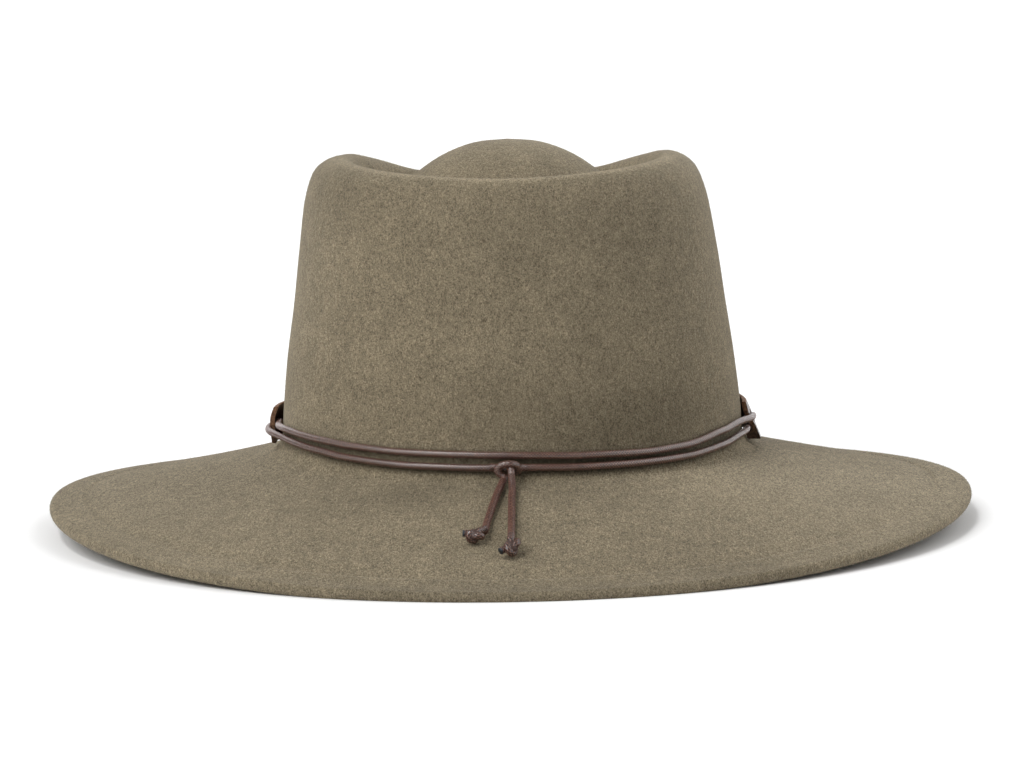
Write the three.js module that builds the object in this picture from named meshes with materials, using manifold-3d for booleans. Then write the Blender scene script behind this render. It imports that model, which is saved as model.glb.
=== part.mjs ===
// Wide-brimmed felt hat with a leather hatband that is laced shut at the back by a waxed cord.
// Millimetres, +Z up. The origin is the centre of the brim's outline, on the surface the hat rests on.
// The back of the hat, with the knot, faces -Y, and its front faces +Y.

import * as THREE from "three";
import { mergeVertices } from "three/addons/utils/BufferGeometryUtils.js";
import Module from "manifold-3d";

// Driving sizes of the felt.
const AROUND = 64; // segments round the hat
const EDGE_STEPS = 4; // segments over the rounded brim edge
const PRESSED_FLAT = 0.6; // how far the brim's lowest felt is pressed flat where it rests

// Sections of the felt's upper face, from the brim's lip in to the middle of the crown.
// Each is an oval of half width a and half length b, moved sideways by shift. nBack and nFront
// are the fullness of its two halves (2 is an ellipse). Its height runs from side to back or
// front, and the larger dip is, the sooner it falls off from the sides. wall is the felt's
// thickness, and steps is the number of rings up to the next section.
const SECTIONS = [
  {
    name: "brim_lip", a: 172.4, b: 188.8, shift: 0.0, side: 11.9, back: 3.7, front: 3.8,
    dip: 2.25, nBack: 2.02, nFront: 1.88, wall: 4.0, steps: 1,
  },
  {
    name: "welt_top", a: 168.4, b: 184.7, shift: 0.0, side: 12.6, back: 4.2, front: 4.3,
    dip: 2.25, nBack: 2.02, nFront: 1.89, wall: 4.0, steps: 1,
  },
  {
    name: "welt_inside", a: 162.2, b: 178.6, shift: 0.0, side: 13.1, back: 5.6, front: 5.4,
    dip: 2.25, nBack: 2.02, nFront: 1.9, wall: 2.6, steps: 1,
  },
  {
    name: "brim_turn", a: 152.0, b: 168.5, shift: 0.0, side: 14.6, back: 8.6, front: 8.0,
    dip: 2.25, nBack: 2.02, nFront: 1.92, wall: 2.4, steps: 1,
  },
  {
    name: "brim_outer", a: 138.0, b: 154.5, shift: 0.1, side: 16.6, back: 13.2, front: 12.0,
    dip: 2.25, nBack: 2.02, nFront: 1.95, wall: 2.4, steps: 1,
  },
  {
    name: "brim_inner", a: 118.0, b: 134.5, shift: 0.5, side: 19.9, back: 20.0, front: 18.0,
    dip: 2.2, nBack: 2.03, nFront: 2.0, wall: 2.4, steps: 1,
  },
  {
    name: "break_foot", a: 98.0, b: 115.5, shift: 1.0, side: 24.4, back: 26.2, front: 24.4,
    dip: 2.0, nBack: 2.04, nFront: 2.04, wall: 2.3, steps: 1,
  },
  {
    name: "break_bend", a: 90.0, b: 108.4, shift: 1.1, side: 27.6, back: 29.2, front: 28.0,
    dip: 2.0, nBack: 2.06, nFront: 2.06, wall: 2.2, steps: 1,
  },
  {
    name: "break_rise", a: 87.5, b: 106.4, shift: 1.1, side: 32.0, back: 33.2, front: 32.6,
    dip: 2.0, nBack: 2.07, nFront: 2.07, wall: 2.2, steps: 1,
  },
  {
    name: "crown_foot", a: 86.7, b: 105.6, shift: 1.1, side: 42.0, back: 42.0, front: 42.0,
    dip: 2.0, nBack: 2.08, nFront: 2.08, wall: 2.2, steps: 1,
  },
  {
    name: "crown_low", a: 84.5, b: 103.2, shift: 0.9, side: 63.0, back: 62.0, front: 62.0,
    dip: 2.0, nBack: 2.1, nFront: 2.1, wall: 2.2, steps: 1,
  },
  {
    name: "crown_middle", a: 81.4, b: 100.0, shift: 0.8, side: 83.0, back: 81.0, front: 80.0,
    dip: 2.0, nBack: 2.12, nFront: 2.12, wall: 2.2, steps: 1,
  },
  {
    name: "crown_high", a: 78.7, b: 96.6, shift: 0.6, side: 103.0, back: 100.0, front: 97.5,
    dip: 1.9, nBack: 2.15, nFront: 2.15, wall: 2.2, steps: 2,
  },
  {
    name: "shoulder_low", a: 75.2, b: 91.8, shift: 0.1, side: 124.0, back: 119.5, front: 115.0,
    dip: 1.8, nBack: 2.18, nFront: 2.18, wall: 2.2, steps: 2,
  },
  {
    name: "shoulder_high", a: 71.4, b: 87.6, shift: -0.2, side: 133.2, back: 128.2, front: 122.8,
    dip: 1.7, nBack: 2.2, nFront: 2.2, wall: 2.2, steps: 1,
  },
  {
    name: "rim_outside", a: 66.6, b: 84.0, shift: -0.2, side: 136.8, back: 131.2, front: 125.8,
    dip: 1.6, nBack: 2.18, nFront: 2.18, wall: 2.2, steps: 1,
  },
  {
    name: "rim_crest", a: 61.6, b: 80.6, shift: 0.0, side: 137.9, back: 132.1, front: 126.6,
    dip: 1.6, nBack: 2.15, nFront: 2.15, wall: 2.2, steps: 1,
  },
  {
    name: "rim_inside", a: 56.8, b: 76.4, shift: 0.2, side: 135.7, back: 129.8, front: 124.8,
    dip: 1.7, nBack: 2.1, nFront: 2.1, wall: 2.2, steps: 2,
  },
  {
    name: "valley_wall", a: 51.2, b: 70.6, shift: 0.4, side: 127.6, back: 123.4, front: 119.8,
    dip: 1.8, nBack: 2.06, nFront: 2.06, wall: 2.2, steps: 2,
  },
  {
    name: "valley", a: 45.0, b: 62.4, shift: 0.6, side: 124.0, back: 121.0, front: 118.6,
    dip: 2.0, nBack: 2.02, nFront: 2.02, wall: 2.2, steps: 2,
  },
  {
    name: "dome_foot", a: 36.6, b: 50.8, shift: 0.7, side: 129.6, back: 127.8, front: 126.8,
    dip: 2.0, nBack: 2.0, nFront: 2.0, wall: 2.2, steps: 2,
  },
  {
    name: "dome_side", a: 25.2, b: 35.0, shift: 0.8, side: 137.3, back: 136.6, front: 136.2,
    dip: 2.0, nBack: 2.0, nFront: 2.0, wall: 2.2, steps: 1,
  },
  {
    name: "dome_high", a: 12.8, b: 17.6, shift: 0.8, side: 142.1, back: 141.9, front: 141.8,
    dip: 2.0, nBack: 2.0, nFront: 2.0, wall: 2.2, steps: 1,
  },
];
const DOME_TOP = { shift: 0.9, z: 143.4, wall: 2.2 }; // middle of the crown's raised dome

// Leather hatband: it goes round the front, and its two ends stand off the crown at the sides.
const BAND = {
  thickness: 1.8,
  gap: 0.4, // between the leather and the crown in front
  holeRadius: 2.6,
  holeFacets: 12,
  holeInset: 7.0, // from the end of the leather to the middle of its hole
  segments: 44, // along the leather
};
// Heights of the leather's four lines, from its bottom edge to its top edge.
const BAND_LINES = { bottom: 28.6, under: 33.4, over: 38.4, top: 42.6 };
// How far each line stands off the crown near the two ends, as the cord levers them there.
// swing is the place of the end, from the middle of the back, and past is counted from the
// end along the leather, both in degrees.
const BAND_ENDS = {
  left: {
    swing: 88.5,
    stand: [
      { past: 0, bottom: 0.6, under: 2.6, over: 3.0, top: 1.8 },
      { past: 4, bottom: 0.6, under: 2.6, over: 2.8, top: 1.6 },
      { past: 15, bottom: 0.0, under: 0.0, over: 0.0, top: 0.0 },
    ],
  },
  right: {
    swing: 82,
    stand: [
      { past: 0, bottom: 3.3, under: 3.0, over: 0.8, top: 0.0 },
      { past: 9, bottom: 3.6, under: 3.2, over: 2.0, top: 0.3 },
      { past: 30, bottom: 0.0, under: 0.0, over: 0.0, top: 0.0 },
    ],
  },
};

// Waxed cord of the lacing: out from the knot to the left end of the leather, in through its
// hole, back round the hat as the upper strand to the right end, and through it to the knot.
const CORD = { diameter: 2.6, sides: 8, gap: 0.3 };
// Heights of the middle of the cord's two strands at each swing from the middle of the back.
const STRANDS = {
  left: [
    { swing: 0, upper: 36.6, lower: 32.6 },
    { swing: 20, upper: 37.0, lower: 33.2 },
    { swing: 34, upper: 37.6, lower: 33.6 },
    { swing: 46, upper: 38.3, lower: 34.4 },
    { swing: 60, upper: 38.4, lower: 34.7 },
    { swing: 90, upper: 36.3, lower: 34.5 },
  ],
  right: [
    { swing: 0, upper: 36.6, lower: 32.4 },
    { swing: 15, upper: 35.7, lower: 31.8 },
    { swing: 28, upper: 35.1, lower: 31.6 },
    { swing: 39, upper: 35.5, lower: 31.6 },
    { swing: 52, upper: 37.3, lower: 32.4 },
    { swing: 66, upper: 38.3, lower: 33.4 },
    { swing: 84, upper: 37.0, lower: 33.0 },
  ],
};
const STRAND = {
  blend: 24, // stretch over which a strand leaves the crown for the leather, degrees
  settled: 1, // how far before the leather's end it lies in line with it, degrees
  points: 15, // of each half of a strand
};
// The strand that passes outside each end of the leather, and the one that passes inside it.
const LACING = {
  left: { outside: "lower", inside: "upper" },
  right: { outside: "upper", inside: "lower" },
};
const LOOP_POINTS = 6; // points of the half turn through each hole

// Knot of the lacing, and the knots on the ends of its two tails: half sizes along X or the
// knot's own length, across it, and up.
const KNOT = { x: -0.5, z: 32.4, half: [4.8, 3.0, 3.1] };
const END_KNOTS = {
  left: { place: [-12.0, -153.5, 16.1], half: [3.9, 3.1, 2.8], turn: 0 },
  right: { place: [0.0, -162.4, 13.6], half: [4.6, 3.3, 3.0], turn: 90 }, // turn is in degrees
};
const KNOT_FACETS = { around: 12, up: 8 };
const BRIM_SLOPE = 18.4; // of the brim under the tails, degrees

// The two tails lie down the back of the brim, from the knot to their end knots.
const TAILS = {
  left: [
    [-2.3, -112.5, 28.8], [-2.6, -113.7, 28.3], [-3.0, -115.3, 27.7], [-3.5, -117.4, 26.9],
    [-4.1, -120.0, 26.0], [-4.7, -122.8, 25.1], [-5.2, -125.6, 24.2], [-5.7, -128.4, 23.3],
    [-6.2, -131.2, 22.4], [-6.6, -134.0, 21.5], [-7.1, -136.8, 20.5], [-7.6, -139.6, 19.5],
    [-8.0, -142.4, 18.6], [-8.3, -145.2, 17.8], [-8.6, -148.2, 17.2], [-8.9, -151.0, 16.9],
  ],
  right: [
    [0.5, -114.8, 31.0], [0.6, -115.7, 29.8], [0.7, -116.8, 28.6], [0.7, -118.7, 27.3],
    [0.7, -121.4, 25.9], [0.5, -125.0, 24.6], [0.5, -128.4, 23.4], [0.4, -131.8, 22.3],
    [0.4, -135.2, 21.1], [0.4, -138.6, 20.0], [0.3, -142.0, 18.9], [0.3, -145.4, 17.7],
    [0.2, -148.8, 16.6], [0.2, -152.2, 15.7], [0.1, -155.2, 15.2], [0.1, -157.7, 15.0],
  ],
};

const COLOURS = { felt: 0x8c8471, leather: 0x5a3826, cord: 0x6e544f };

const degrees = THREE.MathUtils.degToRad;
const { lerp, smoothstep, clamp } = THREE.MathUtils;

function ovalRadius(section, angle) {
  const n = Math.sin(angle) < 0 ? section.nBack : section.nFront;
  const across = Math.abs(Math.cos(angle) / section.a) ** n;
  const along = Math.abs(Math.sin(angle) / section.b) ** n;
  return (across + along) ** (-1 / n);
}

function sectionHeight(section, angle) {
  const end = Math.sin(angle) < 0 ? section.back : section.front;
  return end + (section.side - end) * Math.abs(Math.cos(angle)) ** section.dip;
}

// Points of the felt's upper face along one meridian, from the lip to the middle of the crown.
function upperMeridian(angle) {
  const corners = SECTIONS.map((section) => {
    return new THREE.Vector3(ovalRadius(section, angle), section.shift, sectionHeight(section, angle));
  });
  corners.push(new THREE.Vector3(0, DOME_TOP.shift, DOME_TOP.z));
  const curve = new THREE.CatmullRomCurve3(corners, false, "centripetal");
  const points = [];
  SECTIONS.forEach((section, row) => {
    const next = SECTIONS[row + 1] ?? DOME_TOP;
    for (let step = 0; step < section.steps; step += 1) {
      const share = step / section.steps;
      const point = curve.getPoint((row + share) / SECTIONS.length);
      points.push({ r: point.x, shift: point.y, z: point.z, wall: lerp(section.wall, next.wall, share) });
    }
  });
  points.push({ r: 0, ...DOME_TOP });
  return points;
}

// Unit direction out of the upper face at one point of a meridian.
function meridianNormal(points, index) {
  const before = points[Math.max(index - 1, 0)];
  const after = points[Math.min(index + 1, points.length - 1)];
  const direction = new THREE.Vector2(before.r - after.r, before.z - after.z).normalize();
  return new THREE.Vector2(-direction.y, direction.x);
}

// The felt's whole section along one meridian: its under face from the middle out to the lip,
// round the folded edge, then its upper face in to the middle.
function feltMeridian(angle) {
  const upper = upperMeridian(angle);
  const under = upper.map((point, index) => {
    if (index === upper.length - 1) {
      return { r: 0, shift: point.shift, z: point.z - point.wall };
    }
    const normal = meridianNormal(upper, index);
    return { r: point.r - normal.x * point.wall, shift: point.shift, z: point.z - normal.y * point.wall };
  });
  const [lip, low] = [upper[0], under[0]];
  const up = { r: (lip.r - low.r) / 2, z: (lip.z - low.z) / 2 };
  const edge = [];
  for (let step = 1; step < EDGE_STEPS; step += 1) {
    const turn = (Math.PI * step) / EDGE_STEPS;
    edge.push({
      r: (lip.r + low.r) / 2 - Math.cos(turn) * up.r + Math.sin(turn) * up.z,
      shift: lip.shift,
      z: (lip.z + low.z) / 2 - Math.cos(turn) * up.z - Math.sin(turn) * up.r,
    });
  }
  const path = [...under.reverse(), ...edge, ...upper];
  return path.map((point) => ({ ...point, z: Math.max(point.z - PRESSED_FLAT, 0) }));
}

function indexedGeometry(positions, index) {
  const geometry = new THREE.BufferGeometry();
  geometry.setAttribute("position", new THREE.Float32BufferAttribute(positions, 3));
  geometry.setIndex(index);
  return geometry;
}

// Closed body from meridians whose first and last points all meet on the crown's axis.
function feltGeometry() {
  const meridians = [];
  for (let around = 0; around < AROUND; around += 1) {
    meridians.push(feltMeridian((2 * Math.PI * around) / AROUND));
  }
  const rings = meridians[0].length;
  const [bottom, top] = [meridians[0][0], meridians[0][rings - 1]];
  const positions = [bottom.shift, 0, bottom.z];
  for (let ring = 1; ring < rings - 1; ring += 1) {
    meridians.forEach((meridian, around) => {
      const angle = (2 * Math.PI * around) / AROUND;
      const { r, shift, z } = meridian[ring];
      positions.push(r * Math.cos(angle) + shift, r * Math.sin(angle), z);
    });
  }
  positions.push(top.shift, 0, top.z);
  const last = positions.length / 3 - 1;
  const at = (ring, around) => 1 + (ring - 1) * AROUND + (around % AROUND);
  const index = [];
  for (let around = 0; around < AROUND; around += 1) {
    index.push(0, at(1, around + 1), at(1, around));
    for (let ring = 1; ring < rings - 2; ring += 1) {
      const [a, b] = [at(ring, around), at(ring, around + 1)];
      const [c, d] = [at(ring + 1, around), at(ring + 1, around + 1)];
      index.push(a, b, d, a, d, c);
    }
    index.push(last, at(rings - 2, around), at(rings - 2, around + 1));
  }
  return indexedGeometry(positions, index);
}

// Distance in a meridian's plane from a point to the felt's upper face.
function distanceToFelt(path, r, z) {
  let nearest = Infinity;
  for (let i = 0; i + 1 < path.length; i += 1) {
    const [from, to] = [path[i], path[i + 1]];
    const [dr, dz] = [to.r - from.r, to.z - from.z];
    const share = clamp(((r - from.r) * dr + (z - from.z) * dz) / (dr * dr + dz * dz), 0, 1);
    nearest = Math.min(nearest, Math.hypot(r - from.r - share * dr, z - from.z - share * dz));
  }
  return nearest;
}

// Radius outside the crown, at one angle and height, that keeps clear of the felt.
function besideCrown(angle, z, clear) {
  const path = upperMeridian(angle).map((point) => ({ ...point, z: point.z - PRESSED_FLAT }));
  const above = path.findIndex((point) => point.z > z);
  const [wall, below] = [path[above], path[above - 1]];
  const step = 0.05;
  let r = lerp(below.r, wall.r, (z - below.z) / (wall.z - below.z));
  while (distanceToFelt(path, r, z) < clear) {
    r += step;
  }
  return r;
}

// Leather and cord are placed round the middle of the crown's foot.
const FOOT = SECTIONS.find((section) => section.name === "crown_foot");

function aroundFoot(angle, r, z) {
  return new THREE.Vector3(r * Math.cos(angle) + FOOT.shift, r * Math.sin(angle), z);
}

// Places round the hat are given by side and swing, the angle from the middle of the back.
function swingAngle(side, swing) {
  return -Math.PI / 2 + (side === "left" ? -swing : swing);
}

// Value of a table's column at one place, eased from row to row and level beyond its ends.
function fromTable(rows, key, place, column) {
  const next = rows.findIndex((row) => row[key] > place);
  if (next < 1) {
    return rows.at(next)[column];
  }
  const [from, to] = [rows[next - 1], rows[next]];
  return lerp(from[column], to[column], smoothstep(place, from[key], to[key]));
}

// Radii of the leather's inner face at one angle, line by line from its bottom edge up.
function bandRadii(angle) {
  const end = BAND_ENDS[Math.cos(angle) < 0 ? "left" : "right"];
  const swing = Math.abs(Math.atan2(Math.cos(angle), -Math.sin(angle)));
  const past = THREE.MathUtils.radToDeg(swing) - end.swing;
  return Object.entries(BAND_LINES).map(([line, z]) => {
    const stand = fromTable(end.stand, "past", past, line);
    return { z, r: besideCrown(angle, z, BAND.gap) + stand };
  });
}

function bandRadius(angle, z) {
  const lines = bandRadii(angle);
  const above = clamp(lines.findIndex((line) => line.z > z), 1, lines.length - 1);
  const [low, high] = [lines[above - 1], lines[above]];
  return lerp(low.r, high.r, (z - low.z) / (high.z - low.z));
}

function solidOf(wasm, geometry) {
  const bare = geometry.clone();
  bare.deleteAttribute("normal");
  bare.deleteAttribute("uv");
  const merged = mergeVertices(bare);
  return new wasm.Manifold(new wasm.Mesh({
    numProp: 3,
    vertProperties: Float32Array.from(merged.attributes.position.array),
    triVerts: Uint32Array.from(merged.index.array),
  }));
}

function geometryOf(solid) {
  const { vertProperties, triVerts } = solid.getMesh();
  return indexedGeometry(Array.from(vertProperties), Array.from(triVerts));
}

// Radius of the cord's middle where it lies on one face of the leather.
function besideLeather(angle, z, face) {
  const clear = CORD.diameter / 2 + CORD.gap;
  return bandRadius(angle, z) + (face === "outside" ? BAND.thickness + clear : -clear);
}

function strandHeight(side, swing, strand) {
  return fromTable(STRANDS[side], "swing", THREE.MathUtils.radToDeg(swing), strand);
}

// The cord's half turn through the hole near one end of the leather: where it meets each face
// of the leather, the direction it bulges in, and its radius.
function lacingLoop(side) {
  const reach = (CORD.diameter + BAND.thickness) / 2 + CORD.gap;
  const swing = degrees(BAND_ENDS[side].swing) + (BAND.holeInset - reach) / FOOT.a;
  const angle = swingAngle(side, swing);
  const [outside, inside] = ["outside", "inside"].map((face) => {
    const z = strandHeight(side, swing, LACING[side][face]);
    return aroundFoot(angle, besideLeather(angle, z, face), z);
  });
  const towardsFront = new THREE.Vector3(-Math.sin(angle), Math.cos(angle), 0);
  towardsFront.multiplyScalar(side === "left" ? -1 : 1);
  return { swing, outside, inside, towardsFront, radius: outside.distanceTo(inside) / 2 };
}

function loopPoints(side) {
  const { outside, inside, towardsFront, radius } = lacingLoop(side);
  const points = [];
  for (let i = 0; i <= LOOP_POINTS; i += 1) {
    const turn = (Math.PI * i) / LOOP_POINTS;
    const point = outside.clone().lerp(inside, (1 - Math.cos(turn)) / 2);
    points.push(point.addScaledVector(towardsFront, radius * Math.sin(turn)));
  }
  return points;
}

function bandGeometry(wasm) {
  const from = degrees(BAND_ENDS.right.swing);
  const to = 2 * Math.PI - degrees(BAND_ENDS.left.swing);
  const positions = [];
  for (let i = 0; i <= BAND.segments; i += 1) {
    const angle = swingAngle("right", lerp(from, to, i / BAND.segments));
    const lines = bandRadii(angle);
    lines.forEach(({ r, z }) => positions.push(...aroundFoot(angle, r + BAND.thickness, z)));
    lines.reverse().forEach(({ r, z }) => positions.push(...aroundFoot(angle, r, z)));
  }
  const corners = 2 * Object.keys(BAND_LINES).length;
  const index = [];
  for (let i = 0; i < BAND.segments; i += 1) {
    for (let edge = 0; edge < corners; edge += 1) {
      const a = i * corners + edge;
      const b = i * corners + ((edge + 1) % corners);
      index.push(a, a + corners, b + corners, a, b + corners, b);
    }
  }
  const last = BAND.segments * corners;
  for (let line = 0; line + 1 < corners / 2; line += 1) {
    const [a, b, c, d] = [line, line + 1, corners - 2 - line, corners - 1 - line];
    index.push(a, b, c, a, c, d);
    index.push(last + a, last + c, last + b, last + a, last + d, last + c);
  }
  let leather = solidOf(wasm, indexedGeometry(positions, index));
  for (const side of ["left", "right"]) {
    const { outside, inside, towardsFront, radius } = lacingLoop(side);
    const reach = outside.distanceTo(inside) + CORD.diameter;
    const punch = new THREE.CylinderGeometry(BAND.holeRadius, BAND.holeRadius, reach, BAND.holeFacets);
    const through = inside.clone().sub(outside).normalize();
    punch.applyQuaternion(new THREE.Quaternion().setFromUnitVectors(new THREE.Vector3(0, 1, 0), through));
    const place = outside.clone().lerp(inside, 0.5).addScaledVector(towardsFront, radius);
    punch.translate(place.x, place.y, place.z);
    leather = leather.subtract(solidOf(wasm, punch));
  }
  return geometryOf(leather);
}

// A cord's path, whose steps fall on its points and so lie closer where it bends sharply.
class CordPath extends THREE.CatmullRomCurve3 {
  constructor(points) {
    super(points, false, "centripetal");
  }

  getPointAt(u, target) {
    return this.getPoint(u, target);
  }

  getTangentAt(u, target) {
    return this.getTangent(u, target);
  }
}

function cordGeometry(points) {
  const corners = [];
  for (let i = 0; i < CORD.sides; i += 1) {
    const turn = (2 * Math.PI * i) / CORD.sides;
    corners.push(new THREE.Vector2(Math.cos(turn), Math.sin(turn)).multiplyScalar(CORD.diameter / 2));
  }
  return new THREE.ExtrudeGeometry(new THREE.Shape(corners), {
    extrudePath: new CordPath(points),
    steps: points.length - 1,
    bevelEnabled: false,
  });
}

// Half of one strand, from near the middle of the back to one face of the leather's end.
function strandHalf(side, fromSwing, face) {
  const loop = lacingLoop(side);
  const end = degrees(BAND_ENDS[side].swing);
  const points = [];
  for (let i = 0; i < STRAND.points; i += 1) {
    const swing = lerp(fromSwing, loop.swing, i / STRAND.points);
    const angle = swingAngle(side, swing);
    const near = smoothstep(swing, end - degrees(STRAND.blend), end - degrees(STRAND.settled));
    const height = strandHeight(side, swing, LACING[side][face]);
    const onCrown = besideCrown(angle, height, CORD.diameter / 2 + CORD.gap);
    const lifted = lerp(onCrown, besideLeather(angle, height, face), near);
    points.push(aroundFoot(angle, Math.max(onCrown, lifted), height));
  }
  return points;
}

function lacingPoints() {
  const knotReach = (KNOT.half[0] + CORD.gap) / FOOT.b;
  const knotShift = (KNOT.x - FOOT.shift) / FOOT.b;
  return [
    ...strandHalf("left", knotReach - knotShift, "outside"),
    ...loopPoints("left"),
    ...strandHalf("left", 0, "inside").slice(1).reverse(),
    ...strandHalf("right", 0, "outside"),
    ...loopPoints("right"),
    ...strandHalf("right", knotReach + knotShift, "inside").reverse(),
  ];
}

function knotGeometry(half) {
  return new THREE.SphereGeometry(1, KNOT_FACETS.around, KNOT_FACETS.up).scale(...half);
}

const wasm = await Module();
wasm.setup();

const hat = new THREE.Group();

function addPiece(name, geometry, colour, roughness) {
  const material = new THREE.MeshStandardMaterial({ color: colour, roughness, metalness: 0 });
  const mesh = new THREE.Mesh(geometry, material);
  mesh.name = name;
  hat.add(mesh);
  return mesh;
}

addPiece("felt_body", feltGeometry(), COLOURS.felt, 0.95);
addPiece("leather_band", bandGeometry(wasm), COLOURS.leather, 0.7);
addPiece("lacing_cord", cordGeometry(lacingPoints()), COLOURS.cord, 0.35);

const knot = addPiece("lacing_knot", knotGeometry(KNOT.half), COLOURS.cord, 0.35);
const knotRadius = besideCrown(-Math.PI / 2, KNOT.z, KNOT.half[1] + CORD.gap);
knot.position.set(KNOT.x, -knotRadius, KNOT.z);

for (const side of ["left", "right"]) {
  const tail = TAILS[side].map((point) => new THREE.Vector3(...point));
  addPiece(`tail_${side}`, cordGeometry(tail), COLOURS.cord, 0.35);
  const endKnot = addPiece(`end_knot_${side}`, knotGeometry(END_KNOTS[side].half), COLOURS.cord, 0.35);
  endKnot.rotation.set(degrees(BRIM_SLOPE), 0, degrees(END_KNOTS[side].turn), "XYZ");
  endKnot.position.set(...END_KNOTS[side].place);
}

export default hat;
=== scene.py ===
"""Felt hat with a laced leather hatband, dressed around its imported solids.

Metres, +Z up. The back of the hat, with the knot, faces -Y, as it does in the photograph.
"""

import math

import bpy
import numpy as np
from mathutils import Euler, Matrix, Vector


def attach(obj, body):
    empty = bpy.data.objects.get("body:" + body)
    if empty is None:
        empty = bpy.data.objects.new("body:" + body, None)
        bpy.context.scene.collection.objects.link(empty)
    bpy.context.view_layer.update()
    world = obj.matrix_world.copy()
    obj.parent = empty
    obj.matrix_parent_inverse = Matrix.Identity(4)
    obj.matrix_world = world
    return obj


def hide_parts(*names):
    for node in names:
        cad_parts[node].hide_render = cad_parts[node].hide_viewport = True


MM = 0.001
# Steps for each point of a curve when its length is measured, and the least gap of two points.
FINE_STEPS = 24
LEAST_GAP = 1e-4

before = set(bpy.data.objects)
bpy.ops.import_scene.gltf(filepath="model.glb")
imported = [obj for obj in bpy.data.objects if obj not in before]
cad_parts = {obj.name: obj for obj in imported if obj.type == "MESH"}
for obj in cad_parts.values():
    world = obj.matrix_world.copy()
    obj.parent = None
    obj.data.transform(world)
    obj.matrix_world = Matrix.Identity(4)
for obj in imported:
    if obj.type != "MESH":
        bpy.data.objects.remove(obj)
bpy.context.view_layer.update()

# The photograph's camera: place in mm, angles in degrees, focal length and picture in pixels.
CAMERA = {"place": (1.25, -1200, 185), "pitch": 6.443, "roll": -0.958, "focal": 3169.7, "picture": 1024}
SENSOR_WIDTH = 36.0


def make_camera():
    data = bpy.data.cameras.new("camera")
    data.sensor_fit = "HORIZONTAL"
    data.sensor_width = SENSOR_WIDTH
    data.lens = CAMERA["focal"] / CAMERA["picture"] * SENSOR_WIDTH
    data.clip_start = 0.05
    data.clip_end = 100
    camera = bpy.data.objects.new("camera", data)
    bpy.context.collection.objects.link(camera)
    camera.location = [x * MM for x in CAMERA["place"]]
    turn = Euler((math.radians(90 - CAMERA["pitch"]), 0, 0)).to_matrix()
    roll = Euler((0, 0, math.radians(CAMERA["roll"]))).to_matrix()
    camera.rotation_euler = (turn @ roll).to_euler()
    bpy.context.scene.camera = camera


make_camera()

# Sections of the felt's upper face, from the brim's lip in to the middle of the crown, in mm.
# a and b are the half sizes across and along, shift is the place across of the middle, side,
# back and front are heights, dip is how soon the height falls off from the sides, n_back and
# n_front shape the outline, wall is the felt's thickness and rings is how many rings of the
# mesh follow up to the next section.
COLUMNS = "a b shift side back front dip n_back n_front wall rings".split()
SECTIONS = {
    "brim_lip": (172.4, 188.8, 0.0, 11.9, 3.7, 3.8, 2.25, 2.02, 1.88, 4.0, 4),
    "welt_top": (168.4, 184.7, 0.0, 12.6, 4.2, 4.3, 2.25, 2.02, 1.89, 4.0, 8),
    "welt_inside": (162.2, 178.6, 0.0, 13.1, 5.6, 5.4, 2.25, 2.02, 1.9, 2.6, 14),
    "brim_turn": (152.0, 168.5, 0.0, 14.6, 8.6, 8.0, 2.25, 2.02, 1.92, 2.4, 8),
    "brim_outer": (138.0, 154.5, 0.1, 16.6, 13.2, 12.0, 2.25, 2.02, 1.95, 2.4, 10),
    "brim_inner": (118.0, 134.5, 0.5, 19.9, 20.0, 18.0, 2.2, 2.03, 2.0, 2.4, 10),
    "break_foot": (98.0, 115.5, 1.0, 24.4, 26.2, 24.4, 2.0, 2.04, 2.04, 2.3, 5),
    "break_bend": (90.0, 108.4, 1.1, 27.6, 29.2, 28.0, 2.0, 2.06, 2.06, 2.2, 4),
    "break_rise": (87.5, 106.4, 1.1, 32.0, 33.2, 32.6, 2.0, 2.07, 2.07, 2.2, 4),
    "crown_foot": (86.7, 105.6, 1.1, 42.0, 42.0, 42.0, 2.0, 2.08, 2.08, 2.2, 7),
    "crown_low": (84.5, 103.2, 0.9, 63.0, 62.0, 62.0, 2.0, 2.1, 2.1, 2.2, 7),
    "crown_middle": (81.4, 100.0, 0.8, 83.0, 81.0, 80.0, 2.0, 2.12, 2.12, 2.2, 7),
    "crown_high": (78.7, 96.6, 0.6, 103.0, 100.0, 97.5, 1.9, 2.15, 2.15, 2.2, 7),
    "shoulder_low": (75.2, 91.8, 0.1, 124.0, 119.5, 115.0, 1.8, 2.18, 2.18, 2.2, 5),
    "shoulder_high": (71.4, 87.6, -0.2, 133.2, 128.2, 122.8, 1.7, 2.2, 2.2, 2.2, 4),
    "rim_outside": (66.6, 84.0, -0.2, 136.8, 131.2, 125.8, 1.6, 2.18, 2.18, 2.2, 4),
    "rim_crest": (61.6, 80.6, 0.0, 137.9, 132.1, 126.6, 1.6, 2.15, 2.15, 2.2, 4),
    "rim_inside": (56.8, 76.4, 0.2, 135.7, 129.8, 124.8, 1.7, 2.1, 2.1, 2.2, 4),
    "valley_wall": (51.2, 70.6, 0.4, 127.6, 123.4, 119.8, 1.8, 2.06, 2.06, 2.2, 4),
    "valley": (45.0, 62.4, 0.6, 124.0, 121.0, 118.6, 2.0, 2.02, 2.02, 2.2, 4),
    "dome_foot": (36.6, 50.8, 0.7, 129.6, 127.8, 126.8, 2.0, 2.0, 2.0, 2.2, 4),
    "dome_side": (25.2, 35.0, 0.8, 137.3, 136.6, 136.2, 2.0, 2.0, 2.0, 2.2, 4),
    "dome_high": (12.8, 17.6, 0.8, 142.1, 141.9, 141.8, 2.0, 2.0, 2.0, 2.2, 4),
}
TABLE = {name: dict(zip(COLUMNS, row)) for name, row in SECTIONS.items()}
DOME_TOP = {"shift": 0.9, "z": 143.4, "wall": 2.2}
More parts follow.
